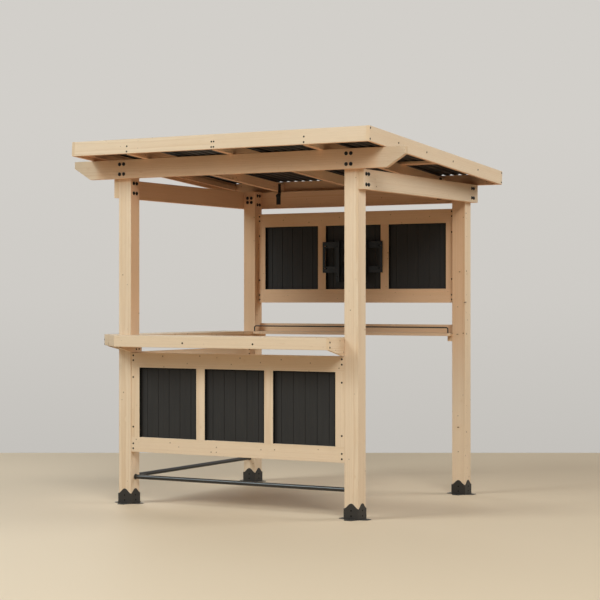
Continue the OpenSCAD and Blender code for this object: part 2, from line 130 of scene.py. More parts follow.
def slab(outline, low, high, axis, arris=0.002, corner=0.002, steps=3):
    # an outline with rounded corners, drawn in by a quarter circle towards each of its two faces
    outline = roundCorners(outline, corner, steps)
    radius = easing["round"] * min(arris, easing["depth"] * (high - low))
    angle = np.linspace(0, pi / 2, steps + 1)
    inset = radius * (1 - np.sin(angle))
    depth = radius * (1 - np.cos(angle))
    inset, heights = np.r_[inset, inset[::-1]], np.r_[low + depth, high - depth[::-1]]
    drawn = outline[None] - inset[:, None, None] * mitre(outline)[None]
    return ringShell(lift(drawn, heights, axis))


def stick(low, high, axis, arris=0.0025, ends=0.0012):
    # a rounded rectangle carried along one axis, eased at both ends
    a, b = otherAxes(axis)
    outline = [[low[a], low[b]], [high[a], low[b]], [high[a], high[b]], [low[a], high[b]]]
    return slab(outline, low[axis], high[axis], axis, arris=ends, corner=arris)


def cutTo(low, high, axis, start, end):
    # the box from low to high, with its extent along one axis changed to start and end
    low, high = np.array(low, float), np.array(high, float)
    low[axis], high[axis] = start, end
    return low, high


def turned(head, place, normal):
    # rings of (radius, height) pairs about a normal; from the star's first ring up to its last the radius
    # is times 1 + swing * cos(6 * angle): a small swing gives a hexagon, a large one a driver's recess
    swing, first, last = head.get("star", (0.0, 0, 0))
    profile = np.array(head["profile"])
    normal = np.asarray(normal, float) / np.linalg.norm(normal)
    slanting = [0.31, 0.57, 0.76]  # no head faces this way
    side = np.cross(normal, slanting)
    side /= np.linalg.norm(side)
    angle = np.linspace(0, 2 * pi, head["sides"], endpoint=False)
    number = np.arange(len(profile))
    starred = (number >= first) & (number < last)
    radius = profile[:, 0, None] * (1 + swing * np.cos(6 * angle)[None] * starred[:, None])
    spread = np.cos(angle)[:, None] * side + np.sin(angle)[:, None] * np.cross(normal, side)
    return ringShell(place + radius[..., None] * spread[None] + profile[:, 1, None, None] * normal)


def tube(path, radius, sides=20):
    # circles square to a path that keeps to one plane: cos(angle) and sin(angle) times the two directions
    path = np.asarray(path, float)
    along = np.gradient(path, axis=0)
    along /= np.linalg.norm(along, axis=1)[:, None]
    side = np.cross(along, [0.0, 1.0, 0.0])
    side /= np.linalg.norm(side, axis=1)[:, None]
    angle = np.linspace(0, 2 * pi, sides, endpoint=False)[None, :, None]
    ring = np.cos(angle) * side[:, None] + np.sin(angle) * np.cross(along, side)[:, None]
    return ringShell(path[:, None] + radius * ring)


# pieces


def intoScene(name, data):
    made = bpy.data.objects.new(name, data)
    bpy.context.scene.collection.objects.link(made)
    return made


class Piece:
    # gathers shells into one mesh, with the wood's own coordinates on its points; it replaces the frame's
    # node of the same name, if there is one
    def __init__(self, node):
        first, *others = node.split("_")
        self.node, self.name = node, first + "".join(word.title() for word in others)
        self.points, self.faces, self.grain, self.fibre, self.tone = [], [], [], [], []
        self.count = 0

    def add(self, shell, along=0, matrix=None, heart=(0.05, 0.14), tone=None):
        # along is the axis of the fibres; the heart of the log lies off the board by a random way
        points, faces = shell
        a, b = otherAxes(along)
        middle = (points.min(0) + points.max(0)) / 2
        far, way = chance.uniform(*heart), chance.uniform(0, 2 * pi)
        grain = np.empty_like(points)
        grain[:, 0] = points[:, along] + chance.uniform(0, 40)
        grain[:, 1] = points[:, a] - middle[a] + far * cos(way)
        grain[:, 2] = points[:, b] - middle[b] + far * sin(way)
        fibre = np.zeros(3)
        fibre[along] = 1
        if matrix is not None:
            points, fibre = points @ matrix.T, matrix @ fibre
        self.points.append(points)
        self.grain.append(grain)
        self.fibre.append(np.tile(fibre, (len(points), 1)))
        self.tone.append(np.full(len(points), chance.uniform(-1, 1) if tone is None else tone))
        self.faces += [[k + self.count for k in face] for face in faces]
        self.count += len(points)
        return self

    def done(self, material, slot, wood=False, sharp=40):
        mesh = bpy.data.meshes.new(self.name)
        mesh.from_pydata(np.concatenate(self.points), [], self.faces)
        if wood:
            # one value for each point, which the shader reads by its name
            for name, kind in (("grain", "FLOAT_VECTOR"), ("fibre", "FLOAT_VECTOR"), ("tone", "FLOAT")):
                rows = np.concatenate(getattr(self, name)).astype(np.float32).ravel()
                values = mesh.attributes.new(name, kind, "POINT").data
                values.foreach_set("value" if kind == "FLOAT" else "vector", rows)
        mesh.polygons.foreach_set("use_smooth", np.ones(len(mesh.polygons), bool))
        mesh.set_sharp_from_angle(angle=radians(sharp))
        mesh.materials.append(material)
        mesh.update()
        made = intoScene(self.name, mesh)
        level = made.modifiers.new("flatFaces", "WEIGHTED_NORMAL")
        level.keep_sharp, level.weight = True, 80
        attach(made, "root")
        if self.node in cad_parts:
            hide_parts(self.node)


def span(node, matrix=None):
    # a node's lowest and highest corners, seen in a frame turned by the matrix
    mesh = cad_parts[node].data
    points = np.empty(len(mesh.vertices) * 3, np.float32)
    mesh.vertices.foreach_get("co", points)
    points = points.reshape(-1, 3).astype(float)
    if matrix is not None:
        points = points @ matrix
    return points.min(0), points.max(0)


def centre(node, matrix=None):
    # half way between its lowest and highest corners
    low, high = span(node, matrix)
    return (low + high) / 2


# shader expressions


def shade(red, green, blue):
    # a screen colour of 0 to 255 as the linear colour that a socket holds
    c = np.array([red, green, blue]) / 255
    return (*np.where(c > 0.04045, ((c + 0.055) / 1.055) ** 2.4, c / 12.92), 1.0)


class Wire:
    # a socket that takes part in sums: each operator adds its Math node
    def __init__(self, nodes, socket):
        self.nodes, self.socket = nodes, socket

    def maths(self, operation, *others):
        values = dict(enumerate((self, *others)))
        return self.nodes.add("Math", values, operation=operation)

    def __rsub__(self, other):
        return self.nodes.add("Math", {0: other, 1: self}, operation="SUBTRACT")

    __add__ = __radd__ = partialmethod(maths, "ADD")
    __sub__ = partialmethod(maths, "SUBTRACT")
    __mul__ = __rmul__ = partialmethod(maths, "MULTIPLY")
    __truediv__ = partialmethod(maths, "DIVIDE")
    __pow__ = partialmethod(maths, "POWER")

    def step(self, low, high):
        # 0 below low, 1 above high and a smooth rise between
        return self.nodes.add("MapRange", {"Value": self, "From Min": low, "From Max": high},
                              interpolation_type="SMOOTHSTEP")


class Nodes:
    # a node tree built by calls: add makes a node, sets it, links it and hands back one of its outputs
    def __init__(self, tree):
        self.tree = tree

    def connect(self, value, socket):
        if isinstance(value, Wire):
            self.tree.links.new(value.socket, socket)
        else:
            socket.default_value = value

    def add(self, kind, sockets, take=0, **settings):
        node = self.tree.nodes.new("ShaderNode" + kind)
        for key, value in settings.items():
            setattr(node, key, value)
        for key, value in sockets.items():
            self.connect(value, node.inputs[key])
        return Wire(self, node.outputs[take])

    def ramp(self, amount, stops):
        # straight changes of colour between the stops
        made = self.add("ValToRGB", {"Fac": amount})
        elements = made.socket.node.color_ramp.elements
        while len(elements) < len(stops):
            elements.new(0.5)
        for element, (place, colour) in zip(elements, stops):
            element.position, element.color = place, colour
        return made

    def parts(self, vector):
        split = self.add("SeparateXYZ", {0: vector})
        return [Wire(self, socket) for socket in split.socket.node.outputs]

    def mix(self, amount, first, second, blend="MIX"):
        return self.add("Mix", {0: amount, 6: first, 7: second}, 2, data_type="RGBA", blend_type=blend)


class Finish(Nodes):
    # one material: its shader, and the nodes that paint it
    def __init__(self, name):
        self.material = bpy.data.materials.new(name)
        self.material.use_nodes = True
        super().__init__(self.material.node_tree)
        self.shader = self.tree.nodes["Principled BSDF"]

    def attribute(self, name, take="Vector"):
        return self.add("Attribute", {}, take, attribute_name=name)

    def place(self):
        return self.add("TexCoord", {}, "Object")

    def normal(self):
        return self.add("NewGeometry", {}, "Normal")

    def vector(self, x, y, z):
        return self.add("CombineXYZ", {0: x, 1: y, 2: z})

    def join(self, operation, first, second, take=0):
        return self.add("VectorMath", {0: first, 1: second}, take, operation=operation)

    def noise(self, vector, scale=1.0, detail=2.0, rough=0.5):
        return self.add("TexNoise", {"Vector": vector, "Scale": scale, "Detail": detail, "Roughness": rough})

    def cells(self, vector, take):
        # the nearest of many strewn points, one to each unit cube
        return self.add("TexVoronoi", {"Vector": vector, "Scale": 1.0}, take)

    def tinted(self, amount, colour, tint):
        # the colour times the tint, laid over it by the amount
        return self.mix(amount, colour, self.mix(1.0, colour, tint, "MULTIPLY"))

    def bump(self, height, strength, distance):
        return self.add("Bump", {"Height": height, "Strength": strength, "Distance": distance})

    def paint(self, **sockets):
        for key, value in sockets.items():
            self.connect(value, self.shader.inputs[key.replace("_", " ")])
        return self.material


# spruce

spruceLook = {
    "pale": shade(234, 209, 181),
    "late": shade(214, 178, 138),
    "streak": shade(222, 189, 152),
    "knot": shade(104, 66, 38),
    "knotHeart": shade(150, 104, 64),
    "endGrain": shade(217, 182, 142),
    # metres
    "ringGap": 0.0048,      # between two rings
    "wander": 0.010,        # how far the rings stray along the log
    "tremble": 0.0016,      # how far they stray within a hand's breadth
    "knotGap": 0.20,        # between branch whorls
    "knotLeast": 0.0008,
    "knotSize": 0.0048,
    "pinGap": 0.042,        # between the small pin knots
    "pinSize": 0.0048,
    # noises, in paces per metre along and across the fibres
    "drifts": (1.1, 7),
    "ripples": (9, 42),
    "fleckPaces": (22, 210),
    "breadths": (0.7, 16),
    "fibres": (14, 520),
    # strength of each layer of colour
    "weakRings": 0.16,
    "strongRings": 0.34,
    "broad": 0.28,
    "streaks": 0.28,
    "flecks": 0.36,
    "swirls": 0.30,
    "knots": 0.9,
    "knotHearts": 0.5,
    "pins": 0.6,
    "cutEnds": 0.45,
    # painted shade: tints that darken and redden faces looking inwards or lying under the roof, and where
    # they rise from 0 to 1
    "sheltered": (1.06, 0.90, 0.79, 1.0),
    "underRoof": (0.98, 0.92, 0.93, 1.0),
    "middle": (0.0, 0.0, 1.1),
    "inward": (0.0, 0.5),
    "aboveGround": (0.5, 1.3),
    "nearCeiling": (1.78, 1.88),
    "roofWide": (0.93, 0.99),
    "roofDeep": (0.74, 0.80),
    "roofHigh": (1.93, 1.99),
    "roofed": 0.7,
}


def branchKnots(f, along, u, v, distance, look):
    # the nearest cell on a cylinder about the log's heart, by its place along and around: gives the
    # knot's radius, which grows with the cube of a random size, and how many such radii it lies off
    gap, around = look["knotGap"], 1.15
    wayU, wayV = u / (distance + 0.004), v / (distance + 0.004)
    cell = f.vector(along / gap, wayU * around, wayV * around)
    seedAlong, seedU, seedV = f.parts(f.cells(cell, "Position"))
    size = f.parts(f.cells(cell, "Color"))[0]
    seedFar = (seedU * seedU + seedV * seedV) ** 0.5 + 0.001
    offAlong = (along / gap - seedAlong) * gap
    offU, offV = (wayU - seedU / seedFar) * distance, (wayV - seedV / seedFar) * distance
    off = (offAlong * offAlong * 0.7 + offU * offU + offV * offV) ** 0.5
    radius = look["knotLeast"] + look["knotSize"] * size * size * size
    return radius, off / radius


def pinKnots(f, along, u, v, look):
    # small dark points strewn evenly: 1 within each one's own random size, falling to 0 at twice that
    gap = look["pinGap"]
    cell = f.vector(along / gap, u / gap, v / gap)
    size = look["pinSize"] * f.parts(f.cells(cell, "Color"))[1].step(0.3, 0.95)
    return 1 - (f.cells(cell, "Distance") * gap / (0.0001 + size)).step(0.6, 1.2)


def paintedShade(f, normal, look):
    # painted shade: what looks inwards, or lies close under the roof, is tinted darker and redder, as shade;
    # a face looks inwards by the dot product of its normal and its way to the middle
    here = f.place()
    inward = f.join("DOT_PRODUCT", normal, f.join("SUBTRACT", look["middle"], here), "Value")
    x, y, z = f.parts(here)
    wide = 1 - x.maths("ABSOLUTE").step(*look["roofWide"])
    deep = 1 - y.maths("ABSOLUTE").step(*look["roofDeep"])
    roofed = wide * deep * z.step(*look["roofHigh"]) * look["roofed"]
    inward = inward.step(*look["inward"])
    underRoof = inward * z.step(*look["nearCeiling"])
    return (inward * z.step(*look["aboveGround"])).maths("MAXIMUM", roofed), underRoof


def makeSpruce(name, look):
    # softwood: layers of colour by rings about the log's heart, streaks, flecks and knots, then painted shade
    f = Finish(name)
    along, u, v = f.parts(f.attribute("grain"))

    def drawnOut(paces, **looks):
        # noise that is stretched along the fibres
        return f.noise(f.vector(along * paces[0], u * paces[1], v * paces[1]), **looks)

    # rings about the heart: a slow drift gives flat-sawn faces their long arches, and knots push them aside
    distance = (u * u + v * v) ** 0.5
    radius, near = branchKnots(f, along, u, v, distance, look)
    swirl = (near * near * -0.12).maths("EXPONENT")
    drift = drawnOut(look["drifts"], detail=1.5)
    ripple = drawnOut(look["ripples"])
    astray = drift * look["wander"] + ripple * look["tremble"] + swirl * radius * 0.9
    rings = (distance + astray) / look["ringGap"]
    saw = rings.maths("FRACT")
    late = saw.step(0.25, 0.88) * (1 - saw.step(0.9, 1.0))
    # years of strong and weak growth: broad streaks that follow the rings
    years = f.noise(f.vector(rings * 1.1, along * 0.5, 0.0), detail=2.5, rough=0.62)
    flecks = drawnOut(look["fleckPaces"], rough=0.6)
    breadth = drawnOut(look["breadths"], detail=3)
    fibres = drawnOut(look["fibres"], detail=3, rough=0.6)
    knot = 1 - near.step(0.75, 1.15)
    heart = knot * (1 - near.step(0.1, 0.8))
    pin = pinKnots(f, along, u, v, look)
    strong = breadth.step(0.3, 0.7) * look["strongRings"] + look["weakRings"]
    layers = [
        (late * strong, "late"),
        (breadth.step(0.5, 0.8) * look["broad"], "streak"),
        (years.step(0.46, 0.72) * look["streaks"], "late"),
        (flecks.step(0.6, 0.78) * look["flecks"], "late"),
        (swirl * look["swirls"], "streak"),
        (knot * look["knots"], "knot"),
        (heart * look["knotHearts"], "knotHeart"),
        (pin * look["pins"], "knot"),
    ]
    colour = look["pale"]
    for amount, over in layers:
        colour = f.mix(amount, colour, look[over])
    normal = f.normal()
    facing = f.join("DOT_PRODUCT", normal, f.attribute("fibre"), "Value")
    cutEnd = (facing * facing).step(0.55, 0.9)
    # painted shade: faces that look inwards or lie under the roof are tinted darker and redder
    sheltered, underRoof = paintedShade(f, normal, look)
    colour = f.tinted(sheltered, colour, look["sheltered"])
    colour = f.tinted(underRoof, colour, look["underRoof"])
    colour = f.mix(cutEnd * look["cutEnds"], colour, look["endGrain"])
    # each board has its own tone, and each fibre a little
    level = 0.987 + f.attribute("tone", "Fac") * 0.03 + (fibres - 0.5) * 0.15
    colour = f.mix(1.0, colour, f.vector(level, level, level), "MULTIPLY")
    height = fibres * 0.55 + late * 0.3 - knot * 0.4
    return f.paint(Base_Color=colour, Roughness=0.56 + late * 0.06 + cutEnd * 0.15 + (fibres - 0.5) * 0.1,
                   Normal=f.bump(height, 0.22, 0.0005), Specular_IOR_Level=0.15)


# dark boards and metal

charcoalLook = {
    "coat": shade(46, 44, 43),
    "worn": shade(57, 55, 53),
    "lining": shade(17, 16, 15),
    "fibres": (260, 5),         # paces per metre across and up the boards
    "clouds": (9, 3),
}


def makeCharcoal(name, look):
    # stained boards with a brushed grain; a tone of 1 marks the black lining round them
    f = Finish(name)
    x, y, z = f.parts(f.place())
    lining = f.attribute("tone", "Fac")

    def upright(paces, detail):
        return f.noise(f.vector(x * paces[0], y * paces[0], z * paces[1]), detail=detail)

    fibres = upright(look["fibres"], 3)
    clouds = upright(look["clouds"], 2)
    colour = f.mix(fibres.step(0.45, 0.75) * 0.5 + clouds.step(0.4, 0.8) * 0.3, look["coat"], look["worn"])
    colour = f.mix(lining, colour, look["lining"])
    return f.paint(Base_Color=colour, Roughness=0.52 + fibres * 0.18 + lining * 0.2,
                   Normal=f.bump(fibres, 0.25, 0.0004), Specular_IOR_Level=0.2)


# colour, paces per metre of the orange peel, roughness, strength of the dust, gloss
steelLooks = {
    "anchorSteel": (shade(50, 46, 42), 1400, 0.5, 0.35, 0.35),
    "blackSteel": (shade(24, 24, 24), 1100, 0.45, 0.1, 0.35),
    "railSteel": (shade(19, 18, 17), 900, 0.33, 0.0, 0.65),
    "mountSteel": (shade(14, 14, 14), 1100, 0.5, 0.1, 0.35),
    "roofSteel": (shade(27, 27, 27), 500, 0.45, 0.12, 0.35),
    "boltBlack": (shade(5, 4, 4), 2200, 0.6, 0.0, 0.35),
}
dustColour = shade(120, 112, 102)


def makeCoatedSteel(name, colour, peel, rough, dust, gloss):
    # powder coat: fine orange peel, and dust in clouds on what faces up
    f = Finish(name)
    here = f.place()
    clouds = f.noise(here, scale=14, detail=3)
    up = f.parts(f.normal())[2]
    lying = up.step(0.5, 1.0) * clouds.step(0.35, 0.75) * dust
    return f.paint(Base_Color=f.mix(lying, colour, dustColour), Specular_IOR_Level=gloss,
                   Roughness=rough + (clouds - 0.5) * 0.16 + lying * 0.3,
                   Normal=f.bump(f.noise(here, scale=peel), 0.12, 0.0003))


def makeBronzeAndHoleShade(name):
    # a dull brown coat, mixed of two shades by a fine noise; both are near black, which also stands for
    # painted shade in the hole round each head
    f = Finish(name)
    clouds = f.noise(f.place(), scale=900)
    colour = f.mix(clouds, shade(12, 8, 5), shade(24, 17, 12))
    return f.paint(Base_Color=colour, Metallic=0.1, Roughness=0.55 + clouds * 0.2, Specular_IOR_Level=0.1)


spruce = makeSpruce("spruce", spruceLook)
charcoal = makeCharcoal("charcoalBoards", charcoalLook)
steel = {name: makeCoatedSteel(name, *look) for name, look in steelLooks.items()}
# the screws' coat is partly real dark bronze and partly painted shade of the holes their heads sit in
screwBronze = makeBronzeAndHoleShade("screwBronze")
print("finishes made")


def timber(piece):
    piece.done(spruce, "spruce", wood=True)


def fillBox(node, along, matrix=None, heart=(0.05, 0.14), **looks):
    # one board that fills its node's box, with its fibres along one axis
    board = stick(*span(node, matrix), along, **looks)
    timber(Piece(node).add(board, along, matrix, heart))


def boardRow(node, along, across, starts, width, matrix=None):
    # equal boards at some starts along one axis of the node's box
    low, high = span(node, matrix)
    row = Piece(node)
    for start in starts:
        row.add(stick(*cutTo(low, high, across, start, start + width), along), along, matrix)
    timber(row)


# posts, headers and side beams

postSize = 0.090
postLooks = {"arris": 0.003, "heart": (0.03, 0.09)}
for name in ("front_left", "back_left", "front_right", "back_right"):
    fillBox(f"post_{name}", 2, **postLooks)

beams = {"arris": 0.003, "bevel": 0.118, "endHeight": 0.042}
bevel, arris = beams["bevel"], beams["arris"]
left, headerFront, under = span("front_header")[0]
right, headerBack, over = span("front_header")[1]
bevelUp = over - beams["endHeight"]
outline = [[left + bevel, under], [right - bevel, under], [right, bevelUp], [right, over], [left, over],
           [left, bevelUp]]
timber(Piece("front_header").add(slab(outline, headerFront, headerBack, 1, arris=arris, corner=arris)))
for node, along in (("back_header", 0), ("side_beam_left", 1), ("side_beam_right", 1)):
    fillBox(node, along, arris=arris)
print("posts and beams made")

# roof: boards lie in a frame turned down the slope

roof = {"pitch": radians(4.1), "purlins": 3, "purlinWidth": 0.063, "purlinGap": 0.581, "battenWidth": 0.018,
        "fasciaEnds": 0.0006, "buttEnds": 0.0003}
slope = turnAbout(0, -roof["pitch"])

fasciaLow, fasciaHigh = span("fascia_front", slope)
frontBoards = Piece("fascia_front")
for start, end in ((fasciaLow[0], 0.0), (0.0, fasciaHigh[0])):
    board = stick(*cutTo(fasciaLow, fasciaHigh, 0, start, end), 0, ends=roof["buttEnds"])
    frontBoards.add(board, matrix=slope)
timber(frontBoards)
for node, along in (("fascia_back", 0), ("fascia_left", 1), ("fascia_right", 1)):
    fillBox(node, along, slope, ends=roof["fasciaEnds"])

rafters = "rafter_left", "rafter_middle", "rafter_right"
seats = [span("front_header"), span("back_header")]
for node in rafters:
    low, high = span(node, slope)
    edge = [[low[1], low[2]]]
    for seatLow, seatHigh in seats:
        # a notch over the header: up at its front, level along its top and down again
        near = (np.array([0, seatLow[1], seatHigh[2]]) @ slope)[1:].tolist()
        far = (np.array([0, seatHigh[1], seatHigh[2]]) @ slope)[1:].tolist()
        edge += [[near[0], low[2]], near, far, [far[0], low[2]]]
    edge += [[high[1], low[2]], [high[1], high[2]], [low[1], high[2]]]
    timber(Piece(node).add(slab(edge, low[0], high[0], 0), along=1, matrix=slope))

low, high = span("roof_side_battens", slope)
boardRow("roof_side_battens", 1, 0, (low[0], high[0] - roof["battenWidth"]), roof["battenWidth"], slope)
firstPurlin = span("roof_purlins", slope)[0][1]
purlinStarts = [firstPurlin + k * roof["purlinGap"] for k in range(roof["purlins"])]
boardRow("roof_purlins", 0, 1, purlinStarts, roof["purlinWidth"], slope)

sheet = {"waves": 34, "thick": 0.0006, "phase": 0.18, "stepsEach": 16, "rows": 16, "fullness": 1.8}


def corrugated(low, high, look):
    # height is the depth times ((1 - cos(phase)) / 2) ** fullness, at each (across, down)
    across = np.linspace(low[0], high[0], look["waves"] * look["stepsEach"] + 1)
    phase = 2 * pi * ((across - low[0]) / (high[0] - low[0]) * look["waves"] + look["phase"])
    depth = high[2] - low[2] - look["thick"]
    lower = low[2] + depth * ((1 - np.cos(phase)) / 2) ** look["fullness"]
    section = np.r_[np.c_[across, lower], np.c_[across, lower + look["thick"]][::-1]]
    return prism(section, np.linspace(low[1], high[1], look["rows"]), 1)


sheetLow, sheetHigh = span("roof_sheet", slope)
tin = Piece("roof_sheet").add(corrugated(sheetLow, sheetHigh, sheet), matrix=slope)
tin.done(steel["roofSteel"], "roof_steel", sharp=60)
print("roof made")

# walls

wallLooks = {"arris": 0.0014, "ends": 0.0003}
wall = {
    "panes": 3, "rail": 0.090, "endStile": 0.060, "midStile": 0.060,
    "board": 0.014, "groovePitch": 0.0785, "firstGroove": 0.043, "grooveWide": 0.0038, "grooveDeep": 0.0030,
    "fineWide": 0.0016, "fineDeep": 0.0005,
    "strip": 0.004, "stripBack": 0.0004,    # the lining's width and how far it stands back
}


def notched(start, end, face, inward, look):
    # one face of the boards: straight, with a V at each joint and a fine V half way between them
    grooves = (look["fineWide"], look["fineDeep"]), (look["grooveWide"], look["grooveDeep"])
    points = [[start, face]]
    half = look["groovePitch"] / 2
    joint = start + look["firstGroove"] - half
    number = 0
    while joint < end - look["grooveWide"]:
        wide, deep = grooves[number % 2]
        points += [[joint - wide / 2, face], [joint, face + inward * deep], [joint + wide / 2, face]]
        joint += half
        number += 1
    return points + [[end, face]]


def fillPane(boards, start, end, low, high, swap):
    # a boarded panel between two grooved faces; its lining runs up one side, over the top and down the other
    strip, setBack = wall["strip"], wall["stripBack"]
    lower, upper = low[2] + wall["rail"], high[2] - wall["rail"]
    inStart, inEnd, inTop = start + strip, end - strip, upper - strip
    middle = (low[1] + high[1]) / 2
    front = notched(inStart, inEnd, middle - wall["board"] / 2, 1, wall)
    back = notched(inStart, inEnd, middle + wall["board"] / 2, -1, wall)
    boards.add(prism(np.array(front + back[::-1]), [lower, inTop], 2), matrix=swap, tone=0)
    lining = [[start, lower], [inStart, lower], [inStart, inTop], [inEnd, inTop],
              [inEnd, lower], [end, lower], [end, upper], [start, upper]]
    boards.add(prism(np.array(lining), [low[1] + setBack, high[1] - setBack], 1), matrix=swap, tone=1)


def makeWall(side, along):
    # drawn with the first axis along the wall and the second through it, then swapped where it runs along Y
    low, high = span(f"{side}_wall_rails")
    swap = np.eye(3)[[1, 0, 2]] if along else np.eye(3)
    low, high = swap @ low, swap @ high
    lower, upper = low[2] + wall["rail"], high[2] - wall["rail"]
    panes, endStile, midStile = wall["panes"], wall["endStile"], wall["midStile"]
    pane = (high[0] - low[0] - 2 * endStile - (panes - 1) * midStile) / panes
    starts = [low[0] + endStile + k * (pane + midStile) for k in range(panes)]
    ends = [start + pane for start in starts]
    rails = Piece(f"{side}_wall_rails")
    for bottom, top in ((low[2], lower), (upper, high[2])):
        rails.add(stick(*cutTo(low, high, 2, bottom, top), 0, **wallLooks), matrix=swap)
    timber(rails)
    stiles = Piece(f"{side}_wall_stiles")
    between = cutTo(low, high, 2, lower, upper)
    for left, right in zip([low[0]] + ends, starts + [high[0]]):
        stiles.add(stick(*cutTo(*between, 0, left, right), 2, **wallLooks), along=2, matrix=swap)
    timber(stiles)
    boards = Piece(f"{side}_wall_boards")
    for start, end in zip(starts, ends):
        fillPane(boards, start, end, low, high, swap)
    boards.done(charcoal, "charcoal_boards", wood=True, sharp=20)
    return low, high, swap


walls = {side: makeWall(side, along) for side, along in (("front", 0), ("left", 1), ("back", 0))}
print("walls made")

# counter: cut is what the slanting corner takes of each side, out how far the aprons stand off the posts, toe
# how far the brackets' feet pass the posts, and short how far they stop before the posts' inner faces

counter = {"cut": 0.268, "thick": 0.018, "out": 0.176, "toe": 0.015, "short": 0.002}
apronLooks = {"arris": 0.0025, "corner": 0.0006}
topLooks = {"arris": 0.0006, "corner": 0.0008}
bracketLooks = {"arris": 0.0022, "corner": 0.0015}
apronLow, apronHigh = span("counter_apron_front")
leftApronLow, leftApronHigh = span("counter_apron_left")
apronX, apronY = leftApronLow[0], apronLow[1]
apronBottom, apronTop = apronLow[2], apronHigh[2]
halfOut, frontY = span("post_front_left")[0][:2]
innerFrontY = span("post_front_left")[1][1]
innerX = span("post_front_right")[0][0]
innerBackY, backY = (end[1] for end in span("post_back_left"))
# where the corner board starts, and where its inner face meets the inner faces of the other two
cut, thick = counter["cut"], counter["thick"]
cutRun, cutInner = cut + thick * (2 ** 0.5 - 1), cut + thick * 2 ** 0.5
insideX, insideY = apronX + thick, apronY + thick
corner = [[apronX + cut, apronY], [apronX + cutRun, insideY],
          [insideX, apronY + cutRun], [apronX, apronY + cut]]

frontEnd, leftEnd = apronHigh[0], leftApronHigh[1]
frontPlan = [corner[0], [frontEnd, apronY], [frontEnd, insideY], corner[1]]
leftPlan = [corner[3], corner[2], [insideX, leftEnd], [apronX, leftEnd]]
# the corner board is drawn along X, then turned on to the slant
slant = turnAbout(2, radians(-45))
slantPlan = (np.c_[np.array(corner), np.zeros(4)] @ slant)[:, :2]
for name, plan, along, matrix in (("front", frontPlan, 0, None), ("left", leftPlan, 1, None),
                                  ("corner", slantPlan, 0, slant)):
    board = slab(plan, apronBottom, apronTop, 2, **apronLooks)
    timber(Piece(f"counter_apron_{name}").add(board, along, matrix))

topLow, topHigh = span("counter_top_front")
mitreX = apronX + cutInner - counter["out"]
rightEnd = topHigh[0]
frontPlan = [corner[1], [rightEnd, insideY], [rightEnd, innerFrontY], [-innerX, innerFrontY],
             [-innerX, frontY], [mitreX, frontY]]
leftPlan = [[mitreX, frontY], [halfOut, frontY], [halfOut, innerFrontY], [-innerX, innerFrontY],
            [-innerX, leftEnd], [insideX, leftEnd], corner[2]]
for name, plan, along in (("front", frontPlan, 0), ("left", leftPlan, 1)):
    timber(Piece(f"counter_top_{name}").add(slab(plan, topLow[2], topHigh[2], 2, **topLooks), along))

bracketLow, bracketHigh = span("counter_brackets")
foot, reach = bracketLow[2], innerFrontY - counter["short"] - apronY


def bracketOutline(top):
    # distance from the apron line and height: the lower edge falls from the apron to the post
    return np.array([[0, apronBottom], [counter["out"] - counter["toe"], foot], [reach, foot],
                     [reach, top], [0, top]])


def scribed(start, end, line, apron, axis):
    # a bracket at the corner post: on each face its outer end stops where the corner board's inner face is
    fall = (apronBottom - foot) / (counter["out"] - counter["toe"])
    rings = []
    for face in (start, end):
        edge = bracketOutline(topLow[2])
        slantAt = max(thick, cutInner - (face - line))
        edge[0] = [slantAt, apronBottom - fall * slantAt]
        edge[4] = [slantAt, topLow[2]]
        rings.append(edge + [apron, 0])
    return ringShell(lift(np.array(rings), [start, end], axis))


brackets = Piece("counter_brackets")
outline = bracketOutline(bracketHigh[2])
brackets.add(slab(outline + [apronY, 0], innerX - thick, innerX, 0, **bracketLooks), along=1)
brackets.add(slab(outline + [apronX, 0], innerBackY - thick, innerBackY, 1, **bracketLooks), along=0)
brackets.add(scribed(-innerX, -innerX + thick, apronX, apronY, 0), along=1)
brackets.add(scribed(innerFrontY, innerFrontY + thick, apronY, apronX, 1), along=0)
timber(brackets)
print("counter made")

# back shelf

shelf = {"corner": 0.020, "cleat": 0.034}
shelfLooks = {"arris": 0.0025, "corner": 0.001, "steps": 2}
low, high = span("back_shelf")
halfWide, nearY, farY, radius = high[0], low[1], high[1], shelf["corner"]
arc = np.linspace(0, pi / 2, 7)
corner = np.c_[halfWide - radius + radius * np.sin(arc), nearY + radius - radius * np.cos(arc)]
plan = np.r_[corner, [[halfWide, farY], [-halfWide, farY]], (corner * [-1, 1])[::-1]]
timber(Piece("back_shelf").add(slab(plan, low[2], high[2], 2, **shelfLooks)))
fillBox("shelf_backboard", 0)
low, high = span("shelf_cleats")
boardRow("shelf_cleats", 1, 0, (low[0], high[0] - shelf["cleat"]), shelf["cleat"])

guard = {"rod": 0.008, "bend": 0.012, "straight": 0.01}
collar = {"profile": [[0.0075, 0.0], [0.0078, 0.0006], [0.0072, 0.0016], [0.0046, 0.0024]], "sides": 20}
low, high = span("shelf_guard_rail")
rod, bend = guard["rod"], guard["bend"]
leg, height, line = high[0] - rod / 2, high[2] - rod / 2, (low[1] + high[1]) / 2
arc = np.linspace(0, pi / 2, 9)
curve = np.c_[leg - bend + bend * np.cos(arc), 0 * arc + line, height - bend + bend * np.sin(arc)]
half = np.r_[[[leg, line, low[2]], [leg, line, low[2] + guard["straight"]]], curve]
rail = Piece("shelf_guard_rail")
rail.add(tube(np.r_[half, (half * [-1, 1, 1])[::-1]], rod / 2))
for sign in (-1, 1):
    rail.add(turned(collar, [sign * leg, line, low[2]], [0, 0, 1]))
rail.done(steel["blackSteel"], "black_steel")
print("shelf made")

# foot rails

footRail = {"tube": 0.013, "bore": 0.011, "socket": 0.016, "length": 0.008, "ease": 0.001, "lip": 0.0015,
            "sides": 40}


